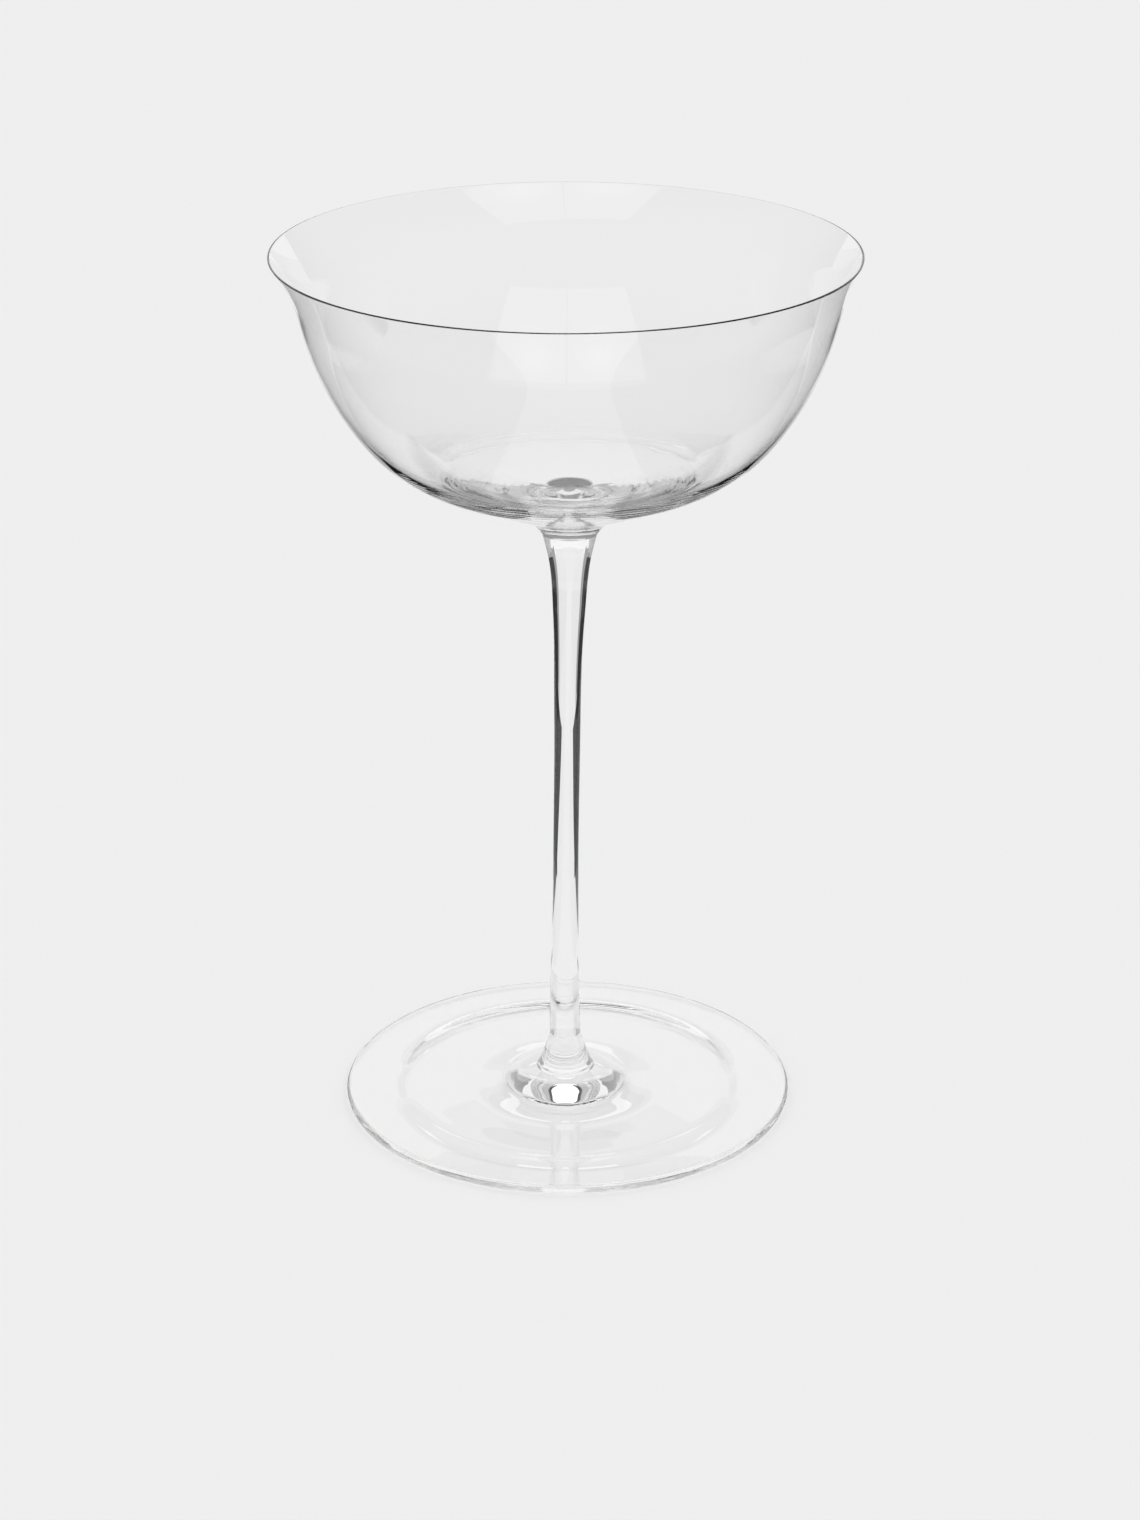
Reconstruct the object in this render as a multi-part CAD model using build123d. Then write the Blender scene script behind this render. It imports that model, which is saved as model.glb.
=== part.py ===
from build123d import *
from math import cos, radians, sin, tan
import os

# A mouth-blown cocktail glass of clear crystal: a shallow bowl on a long drawn
# stem and a flat round foot. Five gathers of glass are fused face to face, one
# above the other on the Z axis: foot, foot collar, stem, bowl collar and bowl.
# Millimetres. The origin is the centre of the ring that the foot rests on.
# Outlines are half sections, (radius, height), turned once round Z.
# A slope is the angle of an outline above the horizontal, in degrees.

# Foot
foot_radius = 43.9
foot_edge_height = 1.9
foot_edge_round = 0.8
foot_top_slope = 0.8
foot_rest_width = 7.0
foot_hollow = 0.7
foot_mound_radius = 12.3
foot_mound_height = 2.5
foot_mound_slope = 140.0
foot_brow_radius = 9.6
foot_brow_height = 1.75
foot_neck_slope = 172.0

# Foot collar, the cone between foot and stem
foot_neck_radius = 5.6
foot_ring_bulge = 0.4
foot_ring_height = 0.95
foot_cone_inset = 0.45
foot_collar_height = 7.5

# Stem
stem_length = 101.5
stem_foot_radius = 3.05
stem_lower_radius = 2.76
stem_lower_at = 15.5
stem_waist_radius = 2.47
stem_waist_at = 38.0
stem_upper_radius = 2.56
stem_upper_drop = 32.0
stem_neck_radius = 3.08
stem_neck_drop = 13.2
stem_head_radius = 4.5
stem_head_slope = 75.0

# Bowl collar, the short bit between stem and bowl
bowl_collar_height = 3.0
bowl_seat_radius = 5.4
bowl_seat_slope = 65.0

# Bowl, outside, from its seat up to its rim
rim_radius = 54.0
bowl_flare_arc = 7.0
bowl_bottom_slope = 22.3
bowl_shoulder_arc = 29.5
bowl_shoulder_slope = 52.6
bowl_wall_arc = 56.3
bowl_wall_slope = 78.2
bowl_lip_arc = 28.7
bowl_lip_slope = 55.3

# Bowl, thickness of the glass
floor_depth = 9.2
floor_flat_radius = 23.5
floor_flat_rise = 1.0
bottom_wall = 1.0
shoulder_wall = 0.5
lip_wall = 0.36
rim_wall = 0.36


def turn(start, slope_from, slope_to, radius):
    """The middle and the end of an arc that leaves start at one slope and ends at another."""
    side = 1 if slope_to > slope_from else -1
    a = radians(slope_from)
    ends = []
    for slope in ((slope_from + slope_to) / 2, slope_to):
        b = radians(slope)
        run = side * radius * (sin(b) - sin(a))
        rise = side * radius * (cos(a) - cos(b))
        ends.append((start[0] + run, start[1] + rise))
    return ends


def inward(point, slope, wall):
    """The point one wall thickness in from the outside of the bowl."""
    a = radians(slope)
    return (point[0] - wall * sin(a), point[1] + wall * cos(a))


def heading(slope):
    """The direction of an outline that climbs outwards at this slope."""
    a = radians(slope)
    return (cos(a), sin(a))


def revolved(edges):
    """The solid that a closed half section makes when it turns once round Z."""
    section = Plane.XZ * make_face(edges)
    return revolve(section, Axis.Z, 360)


def foot():
    """The flat disc, its rounded edge, its shallow hollow and the mound at its middle."""
    top_run = foot_radius - foot_edge_round - foot_mound_radius
    mound_foot = (foot_mound_radius, foot_edge_height + top_run * sin(radians(foot_top_slope)))
    brow = (foot_brow_radius, mound_foot[1] + foot_brow_height)
    neck = (foot_neck_radius, mound_foot[1] + foot_mound_height)
    edge_in = foot_radius - foot_edge_round
    rest_in = edge_in - foot_rest_width
    top_edge = (edge_in, foot_edge_height)
    edges = Curve() + [
        Spline((0, foot_hollow), (rest_in, 0), tangents=[(1, 0), (1, 0)]),
        Line((rest_in, 0), (edge_in, 0)),
        Spline(
            (edge_in, 0),
            (foot_radius, foot_edge_height / 2),
            top_edge,
            tangents=[(1, 0), (-1, 0)],
        ),
        Line(top_edge, mound_foot),
        Spline(
            mound_foot,
            brow,
            neck,
            tangents=[heading(foot_mound_slope), heading(foot_neck_slope)],
        ),
        Line(neck, (0, neck[1])),
        Line((0, neck[1]), (0, foot_hollow)),
    ]
    return revolved(edges), neck[1]


def foot_collar(base):
    """The cone that carries the stem, with a soft ring where it is fused to the foot."""
    ring_top = (foot_neck_radius - foot_cone_inset, base + foot_ring_height)
    ring_out = (foot_neck_radius + foot_ring_bulge, base + foot_ring_height / 2)
    top = base + foot_collar_height
    edges = Curve() + [
        Line((0, base), (foot_neck_radius, base)),
        ThreePointArc((foot_neck_radius, base), ring_out, ring_top),
        Line(ring_top, (stem_foot_radius, top)),
        Line((stem_foot_radius, top), (0, top)),
        Line((0, top), (0, base)),
    ]
    return revolved(edges), top


def stem(base):
    """The drawn stem, slimmest below its middle and flared at its head."""
    top = base + stem_length
    side = Spline(
        (stem_foot_radius, base),
        (stem_lower_radius, base + stem_lower_at),
        (stem_waist_radius, base + stem_waist_at),
        (stem_upper_radius, top - stem_upper_drop),
        (stem_neck_radius, top - stem_neck_drop),
        (stem_head_radius, top),
        tangents=[(0, 1), heading(stem_head_slope)],
    )
    edges = Curve() + [
        Line((0, base), (stem_foot_radius, base)),
        side,
        Line((stem_head_radius, top), (0, top)),
        Line((0, top), (0, base)),
    ]
    return revolved(edges), top


def bowl_collar(base):
    """The short flared bit that joins the head of the stem to the bowl."""
    top = base + bowl_collar_height
    side = Spline(
        (stem_head_radius, base),
        (bowl_seat_radius, top),
        tangents=[heading(stem_head_slope), heading(bowl_seat_slope)],
    )
    edges = Curve() + [
        Line((0, base), (stem_head_radius, base)),
        side,
        Line((bowl_seat_radius, top), (0, top)),
        Line((0, top), (0, base)),
    ]
    return revolved(edges), top


def bowl(base):
    """The thin blown bowl, thick at its floor and fire-polished at its rim."""
    arcs = (
        (bowl_bottom_slope, bowl_shoulder_slope, bowl_shoulder_arc, shoulder_wall),
        (bowl_shoulder_slope, bowl_wall_slope, bowl_wall_arc, lip_wall),
        (bowl_wall_slope, bowl_lip_slope, bowl_lip_arc, rim_wall),
    )
    arcs_run = sum(turn((0, 0), *arc[:3])[1][0] for arc in arcs)
    seat = (bowl_seat_radius, base)
    flare_mid, flare_end = turn(seat, bowl_seat_slope, bowl_bottom_slope, bowl_flare_arc)
    bottom_run = rim_radius - arcs_run - flare_end[0]
    bottom_rise = bottom_run * tan(radians(bowl_bottom_slope))
    corner = (flare_end[0] + bottom_run, flare_end[1] + bottom_rise)
    floor = (0, base + floor_depth)
    outside = [ThreePointArc(seat, flare_mid, flare_end), Line(flare_end, corner)]
    inside = [
        floor,
        (floor_flat_radius, floor[1] + floor_flat_rise),
        inward(corner, bowl_bottom_slope, bottom_wall),
    ]
    wall = bottom_wall
    for slope_from, slope_to, radius, wall_to in arcs:
        middle, end = turn(corner, slope_from, slope_to, radius)
        outside.append(ThreePointArc(corner, middle, end))
        inside.append(inward(middle, (slope_from + slope_to) / 2, (wall + wall_to) / 2))
        inside.append(inward(end, slope_to, wall_to))
        corner = end
        wall = wall_to
    rim = TangentArc(corner, inside[-1], tangent=heading(bowl_lip_slope))
    lining = Spline(inside, tangents=[(1, 0), heading(bowl_lip_slope)])
    bottom = [Line(floor, (0, base)), Line((0, base), seat)]
    return revolved(Curve() + outside + [rim, lining] + bottom)


def main():
    os.makedirs("parts", exist_ok=True)
    foot_solid, foot_top = foot()
    foot_collar_solid, collar_top = foot_collar(foot_top)
    stem_solid, stem_top = stem(collar_top)
    bowl_collar_solid, seat_height = bowl_collar(stem_top)
    nodes = {
        "foot": foot_solid,
        "foot_collar": foot_collar_solid,
        "stem": stem_solid,
        "bowl_collar": bowl_collar_solid,
        "bowl": bowl(seat_height),
    }
    for name, solid in nodes.items():
        export_step(solid, f"parts/{name}.step")


main()
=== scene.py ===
from math import cos, exp, pi, radians, sin, tan, tanh

import bmesh
import bpy
from bpy.props import FloatProperty, FloatVectorProperty, IntProperty, PointerProperty
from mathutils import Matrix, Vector, noise
from mathutils.geometry import interpolate_bezier


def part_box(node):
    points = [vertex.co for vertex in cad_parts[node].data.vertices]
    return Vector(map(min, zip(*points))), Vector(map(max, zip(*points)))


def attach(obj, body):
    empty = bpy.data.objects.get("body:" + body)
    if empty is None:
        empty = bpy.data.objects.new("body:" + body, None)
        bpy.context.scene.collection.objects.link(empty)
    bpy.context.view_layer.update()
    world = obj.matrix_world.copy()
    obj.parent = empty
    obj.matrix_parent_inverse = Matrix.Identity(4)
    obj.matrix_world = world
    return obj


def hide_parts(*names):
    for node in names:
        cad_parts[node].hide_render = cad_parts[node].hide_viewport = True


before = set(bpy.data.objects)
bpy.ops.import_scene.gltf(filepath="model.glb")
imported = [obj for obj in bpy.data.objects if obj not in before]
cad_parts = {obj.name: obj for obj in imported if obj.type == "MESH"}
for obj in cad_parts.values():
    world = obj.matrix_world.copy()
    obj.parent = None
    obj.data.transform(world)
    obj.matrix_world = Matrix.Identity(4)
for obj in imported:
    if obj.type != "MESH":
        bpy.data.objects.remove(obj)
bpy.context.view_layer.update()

bl_info = {
    "name": "Cocktail glass",
    "version": (1, 0, 0),
    "blender": (4, 5, 0),
    "location": "View3D > Sidebar > Glass",
    "description": "Builds a mouth-blown cocktail glass from its bowl, collars, stem and foot",
    "category": "Object",
}

FOOT_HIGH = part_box("foot")[1]
STEM_LOW, STEM_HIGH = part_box("stem")
BOWL_LOW, BOWL_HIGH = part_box("bowl")
MM = 0.001

# The bowl's outside: the slopes, in degrees, where its arcs meet, and the radii of the arcs.
SEAT_SLOPE, BOTTOM_SLOPE, SHOULDER_SLOPE, WALL_SLOPE, LIP_SLOPE = 65, 22.3, 52.6, 78.2, 55.3
FLARE_ARC, SHOULDER_ARC, WALL_ARC, LIP_ARC = 7 * MM, 29.5 * MM, 56.3 * MM, 28.7 * MM

# The bowl's inside: a nearly flat floor, then a wall that thins quickly on its way up.
FLOOR_FLAT_RADIUS, FLOOR_FLAT_RISE = 23.5 * MM, 1.0 * MM
FLOOR_EDGE_RADIUS = 27.0 * MM
BOTTOM_EXTRA_WALL, WALL_THINNING = 4.0 * MM, 9

# Tool marks on the bowl lie between these radii, below this height over the seat.
MARKS_FROM, MARKS_TO, MARKS_HEIGHT = 6 * MM, 34 * MM, 16 * MM

# The foot's outline.
FOOT_ROUND, FOOT_TOP_SLOPE = 0.8 * MM, 0.8
FOOT_REST_WIDTH, FOOT_HOLLOW = 7 * MM, 0.7 * MM
MOUND_RADIUS, MOUND_SLOPE = 12.3 * MM, 140
BROW_RADIUS, BROW_HEIGHT, BROW_SLOPE = 9.6 * MM, 1.75 * MM, 150
NECK_SLOPE = 172
ROLL_RADIUS, ROLL_WIDTH, ROLL_HEIGHT = 33.3 * MM, 1.3 * MM, 0.34 * MM

# How far the glass strays along X from its true axis, (height, distance) in millimetres.
LEAN_MARKS = (
    (0.0, 0.0), (5, -0.42), (22, -0.55), (48, -0.3), (80, 0.0), (112, 0.45), (160, 0.37), (171, -0.25)
)


# ---------------------------------------------------------------- sizes and finishes


class GlassSizes(bpy.types.PropertyGroup):
    """Sizes of the five fused pieces, in metres."""

    rim_radius: FloatProperty(
        name="Rim radius",
        description="Outside radius of the bowl at its rim",
        default=BOWL_HIGH.x - 0.06 * MM,
        unit="LENGTH",
    )
    rim_wall: FloatProperty(
        name="Rim wall",
        description="Thickness of the glass at the rim",
        default=0.36 * MM,
        unit="LENGTH",
    )
    floor_depth: FloatProperty(
        name="Floor depth",
        description="Height of the inside floor above the bowl's seat",
        default=9.2 * MM,
        unit="LENGTH",
    )
    seat_radius: FloatProperty(
        name="Seat radius",
        description="Radius where the bowl is fused to its collar",
        default=5.4 * MM,
        unit="LENGTH",
    )
    stem_head_radius: FloatProperty(
        name="Stem head radius",
        description="Radius at the top of the stem",
        default=4.5 * MM,
        unit="LENGTH",
    )
    stem_waist_radius: FloatProperty(
        name="Stem waist radius",
        description="Radius of the stem at its slimmest",
        default=2.47 * MM,
        unit="LENGTH",
    )
    stem_foot_radius: FloatProperty(
        name="Stem foot radius",
        description="Radius at the bottom of the stem",
        default=3.05 * MM,
        unit="LENGTH",
    )
    foot_neck_radius: FloatProperty(
        name="Foot neck radius",
        description="Radius where the foot collar is fused to the foot",
        default=5.6 * MM,
        unit="LENGTH",
    )
    foot_radius: FloatProperty(
        name="Foot radius",
        description="Outside radius of the foot",
        default=FOOT_HIGH.x,
        unit="LENGTH",
    )
    foot_edge: FloatProperty(
        name="Foot edge",
        description="Thickness of the foot at its edge",
        default=1.9 * MM,
        unit="LENGTH",
    )
    turns: IntProperty(
        name="Facets",
        description="Number of facets round the glass",
        default=192,
        min=32,
    )


class GlassFinish(bpy.types.PropertyGroup):
    """How the crystal looks and how far hand work shows in it."""

    tint: FloatVectorProperty(
        name="Tint",
        description="Colour of the crystal",
        subtype="COLOR",
        size=3,
        default=(0.998, 0.999, 0.998),
    )
    ior: FloatProperty(
        name="Index of refraction",
        description="How strongly the crystal bends light",
        default=1.52,
    )
    tool_marks: FloatProperty(
        name="Tool marks",
        description="Depth of the rings and swirls that tools leave near the bowl's floor",
        default=0.028 * MM,
        unit="LENGTH",
    )


class StageSettings(bpy.types.PropertyGroup):
    """The floor, the lights and the camera."""

    tone: FloatProperty(
        name="Floor tone",
        description="Brightness of the floor and backdrop",
        default=0.863,
    )
    room: FloatProperty(
        name="Room tone",
        description="Brightness of the studio walls that the glass mirrors",
        default=0.55,
    )
    ceiling: FloatProperty(
        name="Ceiling tone",
        description="Brightness of the studio overhead that the glass mirrors",
        default=0.36,
    )
    camera_distance: FloatProperty(
        name="Camera distance",
        description="Distance of the camera from the stem, along the floor",
        default=0.6278,
        unit="LENGTH",
    )
    camera_height: FloatProperty(
        name="Camera height",
        description="Height of the camera above the floor",
        default=0.3329,
        unit="LENGTH",
    )
    camera_tilt: FloatProperty(
        name="Camera tilt",
        description="How far the camera looks down",
        subtype="ANGLE",
        default=radians(22.68),
    )
    lens: FloatProperty(
        name="Lens",
        description="Focal length of the camera, in millimetres",
        default=83.9,
    )


# ---------------------------------------------------------------- outlines and meshes


def arc(start, slope_from, slope_to, radius, count):
    """Points of an arc that leaves start at one slope and ends at another, in degrees."""
    side = 1 if slope_to > slope_from else -1
    a = radians(slope_from)
    points = []
    for i in range(1, count + 1):
        b = radians(slope_from + (slope_to - slope_from) * i / count)
        run = side * radius * (sin(b) - sin(a))
        rise = side * radius * (cos(a) - cos(b))
        points.append((start[0] + run, start[1] + rise))
    return points


def line(start, end, count):
    """Evenly spaced points from start, left out, to end."""
    shares = [i / count for i in range(1, count + 1)]
    return [tuple(a + (b - a) * t for a, b in zip(start, end)) for t in shares]


def curve(start, slope_from, end, slope_to, count):
    """Points of a soft curve between two points with a slope at each, in degrees."""
    reach = (Vector(end) - Vector(start)).length / 3
    leave = Vector((cos(radians(slope_from)), sin(radians(slope_from))))
    arrive = Vector((cos(radians(slope_to)), sin(radians(slope_to))))
    a, b = Vector(start), Vector(end)
    points = interpolate_bezier(a, a + leave * reach, b - arrive * reach, b, count + 1)
    return [tuple(p[:2]) for p in points[1:]]


def smoothed(points, passes):
    """An outline with its joins eased, its ends kept."""
    for _ in range(passes):
        inner = [
            tuple((a + 2 * b + c) / 4 for a, b, c in zip(*trio))
            for trio in zip(points, points[1:], points[2:])
        ]
        points = [points[0]] + inner + [points[-1]]
    return points


def lean(height):
    """How far the hand-drawn axis strays from upright at a height, along X."""
    marks = [(z * MM, x * MM) for z, x in LEAN_MARKS]
    for (z0, x0), (z1, x1) in zip(marks, marks[1:]):
        if height <= z1:
            t = (height - z0) / (z1 - z0)
            t = t * t * (3 - 2 * t)
            return x0 + (x1 - x0) * t
    return marks[-1][1]


def turned(name, outline, turns, joints=()):
    """A closed mesh: the outline turned once round Z, its fused ends in their own slot."""
    bm = bmesh.new()
    ring = [bm.verts.new((r, 0, z)) for r, z in outline]
    for a, b in zip(ring, ring[1:]):
        bm.edges.new((a, b))
    bmesh.ops.spin(
        bm,
        geom=bm.verts[:] + bm.edges[:],
        axis=(0, 0, 1),
        cent=(0, 0, 0),
        steps=turns,
        angle=2 * pi,
        use_merge=True,
    )
    bmesh.ops.remove_doubles(bm, verts=bm.verts, dist=1e-7)
    bmesh.ops.recalc_face_normals(bm, faces=bm.faces)
    for face in bm.faces:
        face.smooth = True
        flat = max(abs(v.co.z - face.verts[0].co.z) for v in face.verts) < 1e-7
        if flat and any(abs(face.verts[0].co.z - z) < 1e-6 for z in joints):
            face.material_index = 1
    for edge in bm.edges:
        slots = {face.material_index for face in edge.link_faces}
        edge.smooth = len(slots) < 2
    return bm


def finish_piece(bm, name, node, finish):
    """Turns a bmesh into a crystal piece that stands for its CAD node."""
    mesh = bpy.data.meshes.new(name)
    bm.to_mesh(mesh)
    bm.free()
    piece = bpy.data.objects.new(name, mesh)
    bpy.context.scene.collection.objects.link(piece)
    mesh.materials.append(crystal(node + "_crystal", finish.tint, finish.ior))
    mesh.materials.append(fused_joint())
    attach(piece, "root")
    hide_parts(node)


def stray(bm, reach=None):
    """Moves a mesh off its true axis, as hand work does. Past reach it stays centred."""
    for v in bm.verts:
        share = 1.0
        if reach:
            share = min(1.0, max(0.0, (reach - v.co.xy.length) / (reach * 0.6)))
        v.co.x += lean(max(v.co.z, 5 * MM)) * share


# ---------------------------------------------------------------- materials


def crystal(name, tint, ior):
    """Clear blown crystal: faint waves from the blowing and a trace of surface haze."""
    material = bpy.data.materials.new(name)
    material.use_nodes = True
    nodes, links = material.node_tree.nodes, material.node_tree.links
    shader = nodes["Principled BSDF"]
    shader.inputs["Base Color"].default_value = (*tint, 1)
    shader.inputs["Transmission Weight"].default_value = 1
    shader.inputs["IOR"].default_value = ior
    place = nodes.new("ShaderNodeTexCoord")
    haze = nodes.new("ShaderNodeTexNoise")
    haze.inputs["Scale"].default_value = 90
    haze.inputs["Detail"].default_value = 3
    polish = nodes.new("ShaderNodeMapRange")
    polish.inputs["From Min"].default_value = 0.45
    polish.inputs["From Max"].default_value = 0.8
    polish.inputs["To Min"].default_value = 0.0
    polish.inputs["To Max"].default_value = 0.012
    waves = nodes.new("ShaderNodeTexNoise")
    waves.inputs["Scale"].default_value = 70
    waves.inputs["Detail"].default_value = 1
    bump = nodes.new("ShaderNodeBump")
    bump.inputs["Strength"].default_value = 0.12
    bump.inputs["Distance"].default_value = 0.12 * MM
    links.new(place.outputs["Object"], haze.inputs["Vector"])
    links.new(place.outputs["Object"], waves.inputs["Vector"])
    links.new(haze.outputs["Fac"], polish.inputs["Value"])
    links.new(polish.outputs["Result"], shader.inputs["Roughness"])
    links.new(waves.outputs["Fac"], bump.inputs["Height"])
    links.new(bump.outputs["Normal"], shader.inputs["Normal"])
    return material


def fused_joint():
    """The face where two pieces are melted into one: light passes straight through."""
    material = bpy.data.materials.get("fused_joint")
    if material:
        return material
    material = bpy.data.materials.new("fused_joint")
    material.use_nodes = True
    nodes, links = material.node_tree.nodes, material.node_tree.links
    nodes.remove(nodes["Principled BSDF"])
    clear = nodes.new("ShaderNodeBsdfTransparent")
    links.new(clear.outputs["BSDF"], nodes["Material Output"].inputs["Surface"])
    return material


def card_material(name, tone, facing_tone, hot, hot_at, slants, fades):
    """A studio card that only the glass sees: one tone at a slant, another from straight on.

    It is clear to light that has met the floor. A lamp behind it can glow through.
    A card that fades is clear at a slant as well.
    """
    material = bpy.data.materials.new(name)
    material.use_nodes = True
    nodes, links = material.node_tree.nodes, material.node_tree.links
    nodes.remove(nodes["Principled BSDF"])
    path = nodes.new("ShaderNodeLightPath")
    slant = nodes.new("ShaderNodeLayerWeight")
    sheen = nodes.new("ShaderNodeMapRange")
    sheen.inputs["From Min"].default_value = slants[0]
    sheen.inputs["From Max"].default_value = slants[1]
    sheen.inputs["To Min"].default_value = facing_tone
    sheen.inputs["To Max"].default_value = tone
    place = nodes.new("ShaderNodeTexCoord")
    spread = nodes.new("ShaderNodeMapping")
    spread.inputs["Location"].default_value = hot_at
    spread.inputs["Scale"].default_value = (1.6, 2.4, 1)
    spot = nodes.new("ShaderNodeTexGradient")
    spot.gradient_type = "QUADRATIC_SPHERE"
    lamp = nodes.new("ShaderNodeMath")
    lamp.operation = "MULTIPLY_ADD"
    lamp.inputs[1].default_value = hot
    glow = nodes.new("ShaderNodeEmission")
    clear = nodes.new("ShaderNodeBsdfTransparent")
    mix = nodes.new("ShaderNodeMixShader")
    links.new(slant.outputs["Facing"], sheen.inputs["Value"])
    links.new(place.outputs["Object"], spread.inputs["Vector"])
    links.new(spread.outputs["Vector"], spot.inputs["Vector"])
    links.new(spot.outputs["Fac"], lamp.inputs[0])
    links.new(sheen.outputs["Result"], lamp.inputs[2])
    links.new(lamp.outputs[0], glow.inputs["Strength"])
    veil = nodes.new("ShaderNodeMapRange")
    veil.inputs["From Min"].default_value = slants[0]
    veil.inputs["From Max"].default_value = slants[1]
    veil.inputs["To Max"].default_value = 1 if fades else 0
    through = nodes.new("ShaderNodeMath")
    through.operation = "MAXIMUM"
    links.new(slant.outputs["Facing"], veil.inputs["Value"])
    links.new(path.outputs["Diffuse Depth"], through.inputs[0])
    links.new(veil.outputs["Result"], through.inputs[1])
    links.new(through.outputs[0], mix.inputs["Fac"])
    links.new(glow.outputs["Emission"], mix.inputs[1])
    links.new(clear.outputs["BSDF"], mix.inputs[2])
    links.new(mix.outputs["Shader"], nodes["Material Output"].inputs["Surface"])
    return material


# ---------------------------------------------------------------- pieces


def bowl_outside(sizes):
    """The bowl's outside, from its seat up to its rim."""
    seat = (sizes.seat_radius, BOWL_LOW.z)
    flare = arc(seat, SEAT_SLOPE, BOTTOM_SLOPE, FLARE_ARC, 14)
    shoulder = arc((0, 0), BOTTOM_SLOPE, SHOULDER_SLOPE, SHOULDER_ARC, 1)[-1]
    wall = arc((0, 0), SHOULDER_SLOPE, WALL_SLOPE, WALL_ARC, 1)[-1]
    lip = arc((0, 0), WALL_SLOPE, LIP_SLOPE, LIP_ARC, 1)[-1]
    run = sizes.rim_radius - shoulder[0] - wall[0] - lip[0] - flare[-1][0]
    bottom_end = (flare[-1][0] + run, flare[-1][1] + run * tan(radians(BOTTOM_SLOPE)))
    bottom = line(flare[-1], bottom_end, 48)
    shoulder = arc(bottom[-1], BOTTOM_SLOPE, SHOULDER_SLOPE, SHOULDER_ARC, 40)
    wall = arc(shoulder[-1], SHOULDER_SLOPE, WALL_SLOPE, WALL_ARC, 40)
    lip = arc(wall[-1], WALL_SLOPE, LIP_SLOPE, LIP_ARC, 24)
    return [seat] + flare + bottom + shoulder + wall + lip


def wall_at(sizes, point):
    """Thickness of the blown wall beside a point of the bowl's outside."""
    up = (point[1] - BOWL_LOW.z) / (BOWL_HIGH.z - BOWL_LOW.z)
    return sizes.rim_wall + BOTTOM_EXTRA_WALL * exp(-WALL_THINNING * up)


def make_bowl(sizes, finish):
    """The thin bowl: its outside, a round bead at the rim, and an inside with a thick floor."""
    outside = smoothed(bowl_outside(sizes), 30)
    inside = []
    for before, point, after in zip(outside, outside[1:], outside[2:]):
        along = Vector(after) - Vector(before)
        across = Vector((-along.y, along.x)).normalized() * wall_at(sizes, point)
        if point[0] > FLOOR_EDGE_RADIUS:
            inside.append((point[0] + across.x, point[1] + across.y))
    end, last = Vector(outside[-1]), Vector(outside[-2])
    up = (end - last).normalized()
    across = Vector((-up.y, up.x)) * sizes.rim_wall
    middle = end + across / 2
    bead = [
        tuple(middle - across / 2 * cos(pi * i / 10) + up * sizes.rim_wall / 2 * sin(pi * i / 10))
        for i in range(1, 10)
    ]
    inside.append(tuple(end + across))
    floor = (0.0, BOWL_LOW.z + sizes.floor_depth)
    flat = (FLOOR_FLAT_RADIUS, floor[1] + FLOOR_FLAT_RISE)
    dish = curve(floor, 0, flat, 6, 34) + curve(flat, 6, inside[0], 27, 12)
    lining = smoothed([floor] + dish + inside[1:], 12)
    outline = [(0.0, BOWL_LOW.z)] + outside + bead + lining[::-1]
    bm = turned("bowl", outline, sizes.turns, joints=(BOWL_LOW.z,))
    mark_bowl(bm, finish)
    stray(bm)
    finish_piece(bm, "bowl_blown", "bowl", finish)


def mark_bowl(bm, finish):
    """Rings and swirls where the bowl's thick floor was turned and paddled."""
    bm.normal_update()
    shifts = []
    for v in bm.verts:
        radius = v.co.xy.length
        if not MARKS_FROM < radius < MARKS_TO or v.co.z > BOWL_LOW.z + MARKS_HEIGHT:
            continue
        fade = min(1.0, (radius - MARKS_FROM) / (3 * MM), (MARKS_TO - radius) / (8 * MM))
        turn = Vector((v.co.x, v.co.y, 0)) / radius
        if v.normal.z < 0:
            coil = radius / (1.5 * MM) + 0.8 * noise.noise(turn * 1.3)
            mark = sin(2 * pi * coil) * (0.6 + 0.8 * noise.noise(turn * 2 + Vector((0, 0, coil))))
        else:
            mark = 4 * noise.noise(v.co.xy.to_3d() / (5 * MM) + Vector((3, 5, 8)))
        shifts.append((v, v.normal * finish.tool_marks * fade * mark))
    for v, shift in shifts:
        v.co += shift


def make_bowl_collar(sizes, finish):
    side = curve(
        (sizes.stem_head_radius, STEM_HIGH.z), 75, (sizes.seat_radius, BOWL_LOW.z), 65, 24
    )
    low, high = STEM_HIGH.z, BOWL_LOW.z
    outline = [(0.0, low), (sizes.stem_head_radius, low)] + side + [(0.0, high)]
    bm = turned("bowl_collar", outline, sizes.turns // 2, joints=(low, high))
    stray(bm)
    finish_piece(bm, "bowl_collar_fused", "bowl_collar", finish)


def stem_side(sizes):
    """The drawn stem's outline, from its foot to its head."""
    low, high = STEM_LOW.z, STEM_HIGH.z
    marks = (
        (sizes.stem_foot_radius, low, 90.0),
        (2.76 * MM, low + 15.5 * MM, 90.8),
        (sizes.stem_waist_radius, low + 38 * MM, 90.0),
        (2.56 * MM, high - 32 * MM, 89.3),
        (3.08 * MM, high - 13.2 * MM, 86.2),
        (sizes.stem_head_radius, high, 75.0),
    )
    points = [marks[0][:2]]
    for (r0, z0, a0), (r1, z1, a1) in zip(marks, marks[1:]):
        points += curve((r0, z0), a0, (r1, z1), a1, 40)
    return smoothed(points, 20)


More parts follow.
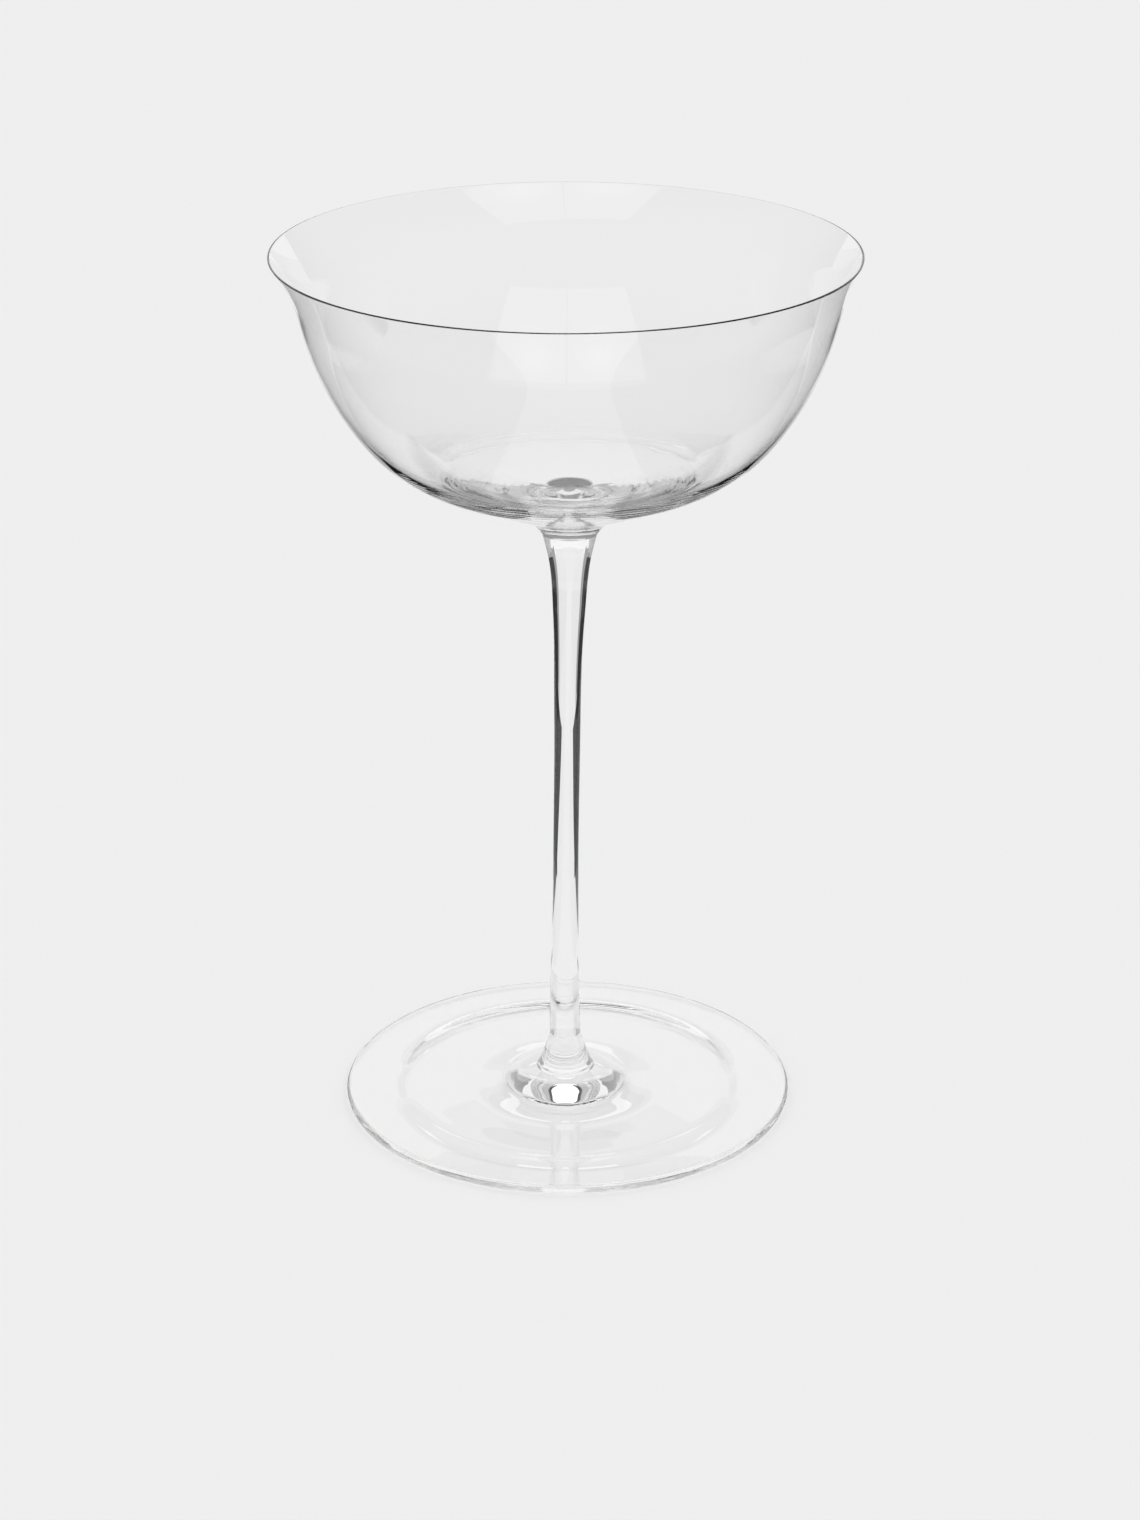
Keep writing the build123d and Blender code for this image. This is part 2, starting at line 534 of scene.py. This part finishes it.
def make_stem(sizes, finish):
    low, high = STEM_LOW.z, STEM_HIGH.z
    outline = [(0.0, low)] + stem_side(sizes) + [(0.0, high)]
    bm = turned("stem", outline, sizes.turns // 2, joints=(low, high))
    stray(bm)
    finish_piece(bm, "stem_drawn", "stem", finish)


def make_foot_collar(sizes, finish):
    low, high = FOOT_HIGH.z, STEM_LOW.z
    neck = sizes.foot_neck_radius
    ring = curve((neck, low), 20, (neck - 0.45 * MM, low + 0.95 * MM), 160, 16)
    cone = curve(ring[-1], 108, (sizes.stem_foot_radius, high), 104, 30)
    outline = [(0.0, low), (neck, low)] + smoothed(ring + cone, 2) + [(0.0, high)]
    bm = turned("foot_collar", outline, sizes.turns // 2, joints=(low, high))
    stray(bm)
    finish_piece(bm, "foot_collar_fused", "foot_collar", finish)


def mark_foot(bm, sizes):
    """The uneven edge and gently waved top of a foot that was spun and tooled by hand."""
    bm.normal_update()
    for v in bm.verts:
        radius = v.co.xy.length
        if radius < 14 * MM:
            continue
        turn = Vector((v.co.x, v.co.y, 0)) / radius
        edge = max(0.0, 1 - (sizes.foot_radius - radius) / (2.5 * MM))
        ripple = noise.noise(turn * 16 + Vector((0, 0, v.co.z / (1.2 * MM))))
        inward = 0.05 * MM * edge * (ripple - 0.5)
        v.co.x += turn.x * inward
        v.co.y += turn.y * inward
        if v.co.z > 1.2 * MM:
            v.co.z += 0.03 * MM * noise.noise(turn * 2.2 + Vector((0, 0, radius / (9 * MM))))


def swell(radius):
    """Height of the soft roll that runs round the foot near its edge."""
    rise = ROLL_HEIGHT * (tanh((radius - ROLL_RADIUS) / ROLL_WIDTH) - 1)
    return rise * min(1.0, max(0.0, (radius - MOUND_RADIUS) / (6 * MM)))


def make_foot(sizes, finish):
    """The round foot: hollow under its middle, a flat ring to rest on, and a mound on top."""
    neck = (sizes.foot_neck_radius, FOOT_HIGH.z)
    edge = sizes.foot_edge
    shoulder = sizes.foot_radius - FOOT_ROUND
    rest_in = shoulder - FOOT_REST_WIDTH
    mound = (MOUND_RADIUS, edge + (shoulder - MOUND_RADIUS) * sin(radians(FOOT_TOP_SLOPE)))
    under = curve((0.0, FOOT_HOLLOW), 0, (rest_in, 0.0), 0, 24)
    rest = line((rest_in, 0.0), (shoulder, 0.0), 8)
    rounding = [
        (shoulder + FOOT_ROUND * sin(pi * i / 16), edge / 2 - edge / 2 * cos(pi * i / 16))
        for i in range(1, 17)
    ]
    top = [(r, z + swell(r)) for r, z in line((shoulder, edge), mound, 70)]
    brow = (BROW_RADIUS, mound[1] + BROW_HEIGHT)
    flare = curve(mound, MOUND_SLOPE, brow, BROW_SLOPE, 16)
    flare += curve(brow, BROW_SLOPE, neck, NECK_SLOPE, 16)
    outline = [(0.0, FOOT_HOLLOW)] + under + rest + rounding
    outline += smoothed(top + flare, 6) + [(0.0, neck[1])]
    bm = turned("foot", outline, 2 * sizes.turns, joints=(neck[1],))
    mark_foot(bm, sizes)
    stray(bm, reach=30 * MM)
    finish_piece(bm, "foot_disc", "foot", finish)


# ---------------------------------------------------------------- stage


def card(
    name, size, place, turn, rig, tone,
    facing_tone=None, hot=0.0, hot_at=(0, 0, 0), slants=(0.3, 0.6), fades=False,
):
    """A flat studio card that hangs on the rig and is seen by the glass alone."""
    bpy.ops.mesh.primitive_plane_add(size=1, location=place, rotation=turn)
    plane = bpy.context.object
    plane.name = name
    plane.scale = (size[0], size[1], 1)
    facing = tone if facing_tone is None else facing_tone
    plane.data.materials.append(card_material(name, tone, facing, hot, hot_at, slants, fades))
    plane.visible_camera = False
    plane.visible_diffuse = False
    plane.visible_shadow = False
    plane.parent = rig


def make_rig(camera):
    """The upright post in the middle of the glass that carries the cards.

    It turns with the camera about Z, so each view has the light of the main one.
    """
    rig = bpy.data.objects.new("card_rig", None)
    bpy.context.scene.collection.objects.link(rig)
    turn = rig.constraints.new("COPY_ROTATION")
    turn.target = camera
    turn.use_x = False
    turn.use_y = False
    return rig


def make_camera(stage):
    """The camera, level from side to side and looking down at the glass."""
    data = bpy.data.cameras.new("camera")
    data.lens = stage.lens
    data.sensor_width = 36
    camera = bpy.data.objects.new("camera", data)
    camera.location = (0.0005, -stage.camera_distance, stage.camera_height)
    camera.rotation_euler = (pi / 2 - stage.camera_tilt, 0, 0)
    bpy.context.scene.collection.objects.link(camera)
    bpy.context.scene.camera = camera
    bpy.context.view_layer.update()
    return camera


def softbox(side, rig):
    """Half of the wide softbox over the camera."""
    tilt = radians(22)
    back = Vector((0, cos(tilt), sin(tilt)))
    lift = Vector((0, -sin(tilt), cos(tilt)))
    place = Vector((0.02, 0, 0.15)) + lift + Vector((side * 0.304, 0, 0)) - back * 0.33
    card("softbox", (0.6, 1.0), place, (tilt, 0, 0), rig, 0.85, 0.85, 0.5, (side * 0.15, -0.3, 0))


def make_floor(stage):
    """The plain pale floor, a hair under the foot."""
    bpy.ops.mesh.primitive_plane_add(size=8, location=(0, 0, -0.03 * MM))
    floor = bpy.context.object
    floor.name = "floor"
    material = bpy.data.materials.new("pale_floor")
    material.use_nodes = True
    nodes, links = material.node_tree.nodes, material.node_tree.links
    nodes.remove(nodes["Principled BSDF"])
    paint = nodes.new("ShaderNodeBsdfDiffuse")
    paint.inputs["Color"].default_value = (stage.tone, stage.tone, stage.tone, 1)
    links.new(paint.outputs["BSDF"], nodes["Material Output"].inputs["Surface"])
    floor.data.materials.append(material)


def make_world(stage):
    """Even light on the floor and backdrop, and a studio that is dim overhead round the glass."""
    world = bpy.data.worlds.new("studio")
    bpy.context.scene.world = world
    world.use_nodes = True
    nodes, links = world.node_tree.nodes, world.node_tree.links
    sky = nodes["Background"]
    path = nodes.new("ShaderNodeLightPath")
    place = nodes.new("ShaderNodeTexCoord")
    axes = nodes.new("ShaderNodeSeparateXYZ")
    dim = nodes.new("ShaderNodeMapRange")
    dim.interpolation_type = "SMOOTHSTEP"
    dim.inputs["From Min"].default_value = 0.3
    dim.inputs["From Max"].default_value = 0.8
    dim.inputs["To Min"].default_value = stage.room
    dim.inputs["To Max"].default_value = stage.ceiling
    lit = nodes.new("ShaderNodeMix")
    lit.inputs[3].default_value = 1.015
    seen = nodes.new("ShaderNodeMix")
    seen.inputs[3].default_value = stage.tone
    links.new(place.outputs["Generated"], axes.inputs["Vector"])
    links.new(axes.outputs["Z"], dim.inputs["Value"])
    links.new(path.outputs["Diffuse Depth"], lit.inputs["Factor"])
    links.new(dim.outputs["Result"], lit.inputs[2])
    links.new(path.outputs["Is Camera Ray"], seen.inputs["Factor"])
    links.new(lit.outputs[0], seen.inputs[2])
    links.new(seen.outputs[0], sky.inputs["Strength"])
    sky.inputs["Color"].default_value = (1, 1, 1, 1)


def make_stage(stage):
    """The camera, the pale floor, the even light and the cards round the glass."""
    camera = make_camera(stage)
    rig = make_rig(camera)
    make_floor(stage)
    make_world(stage)
    for side in (-1, 1):
        card("side_flag", (0.2, 1.2), (side * 0.162, -0.415, 0.4 * MM), (0, 0, 0), rig, 0.06, 0.55)
        card("table_edge", (0.8, 1.2), (side * 0.662, -0.415, 0.3 * MM), (0, 0, 0), rig, 0.5)
        card("back_board", (0.9, 0.112), (side * 0.552, 0.187, 0.057), (pi / 2, 0, 0), rig, 0.35)
        stem_flag = (0.038, 0.076), (side * 0.031, 0.02, 0.073), (pi / 2, 0, 0)
        card("stem_flag", *stem_flag, rig, 0.03, 0.93, slants=(0.1, 0.16))
        # A black strip on the floor just outside the foot's left and right edges, seen by the glass
        # alone: painted contact shade that darkens the foot's ends. Seen straight on it has the
        # floor's tone, at a slant it is black.
        card("foot_contact_shade", (0.005, 0.05), (side * 0.0467, 0.003, 0.1 * MM), (0, 0, 0), rig, 0.0, 0.863)
        softbox(side, rig)
    reach = camera.matrix_world @ Vector((0, 0, -3))
    card("backdrop", (3.8, 6), reach, camera.rotation_euler, rig, 0.95)
    card("top_flag", (1.3, 0.6), (0, 1.21, 1.1), (pi / 2, 0, 0), rig, 0.04)
    over_foot = {"turn": (0, 0, 0), "rig": rig, "slants": (0.22, 0.26), "fades": True}
    card("foot_lamp", (0.055, 0.024), (0, 0.028, 0.06), tone=1.6, **over_foot)
    card("foot_hood", (0.24, 0.1), (0, 0.04, 0.061), tone=0.03, **over_foot)
    card("back_strip", (0.6, 0.1), (0, 1.19, 0.94), (pi / 2, 0, 0), rig, 2.0)
    scene = bpy.context.scene
    scene.view_settings.view_transform = "Standard"
    scene.cycles.max_bounces = 48
    scene.cycles.transmission_bounces = 48
    scene.cycles.glossy_bounces = 48
    scene.cycles.transparent_max_bounces = 32
    scene.cycles.diffuse_bounces = 8
    scene.cycles.blur_glossy = 0


# ---------------------------------------------------------------- add-on


class GLASS_OT_bowl(bpy.types.Operator):
    """Make the thin blown bowl"""

    bl_idname = "glass.bowl"
    bl_label = "Bowl"

    def execute(self, context):
        make_bowl(context.scene.glass_sizes, context.scene.glass_finish)
        return {"FINISHED"}


class GLASS_OT_bowl_collar(bpy.types.Operator):
    """Make the short bit between the bowl and the stem"""

    bl_idname = "glass.bowl_collar"
    bl_label = "Bowl collar"

    def execute(self, context):
        make_bowl_collar(context.scene.glass_sizes, context.scene.glass_finish)
        return {"FINISHED"}


class GLASS_OT_stem(bpy.types.Operator):
    """Make the long drawn stem"""

    bl_idname = "glass.stem"
    bl_label = "Stem"

    def execute(self, context):
        make_stem(context.scene.glass_sizes, context.scene.glass_finish)
        return {"FINISHED"}


class GLASS_OT_foot_collar(bpy.types.Operator):
    """Make the cone that carries the stem on the foot"""

    bl_idname = "glass.foot_collar"
    bl_label = "Foot collar"

    def execute(self, context):
        make_foot_collar(context.scene.glass_sizes, context.scene.glass_finish)
        return {"FINISHED"}


class GLASS_OT_foot(bpy.types.Operator):
    """Make the flat round foot"""

    bl_idname = "glass.foot"
    bl_label = "Foot"

    def execute(self, context):
        make_foot(context.scene.glass_sizes, context.scene.glass_finish)
        return {"FINISHED"}


class GLASS_OT_stage(bpy.types.Operator):
    """Make the floor, the light and the camera"""

    bl_idname = "glass.stage"
    bl_label = "Stage"

    def execute(self, context):
        make_stage(context.scene.glass_stage)
        return {"FINISHED"}


OPERATORS = (
    GLASS_OT_foot,
    GLASS_OT_foot_collar,
    GLASS_OT_stem,
    GLASS_OT_bowl_collar,
    GLASS_OT_bowl,
    GLASS_OT_stage,
)


class GLASS_PT_panel(bpy.types.Panel):
    bl_label = "Cocktail glass"
    bl_space_type = "VIEW_3D"
    bl_region_type = "UI"
    bl_category = "Glass"

    def draw(self, context):
        for operator in OPERATORS:
            self.layout.operator(operator.bl_idname)
        for name in ("glass_sizes", "glass_finish", "glass_stage"):
            group = getattr(context.scene, name)
            for field in group.__annotations__:
                self.layout.prop(group, field)


CLASSES = (GlassSizes, GlassFinish, StageSettings, GLASS_PT_panel) + OPERATORS


def register():
    for cls in CLASSES:
        bpy.utils.register_class(cls)
    bpy.types.Scene.glass_sizes = PointerProperty(type=GlassSizes)
    bpy.types.Scene.glass_finish = PointerProperty(type=GlassFinish)
    bpy.types.Scene.glass_stage = PointerProperty(type=StageSettings)


def unregister():
    del bpy.types.Scene.glass_stage
    del bpy.types.Scene.glass_finish
    del bpy.types.Scene.glass_sizes
    for cls in reversed(CLASSES):
        bpy.utils.unregister_class(cls)


def main():
    register()
    bpy.ops.glass.foot()
    bpy.ops.glass.foot_collar()
    bpy.ops.glass.stem()
    bpy.ops.glass.bowl_collar()
    bpy.ops.glass.bowl()
    bpy.ops.glass.stage()


if __name__ == "__main__":
    main()
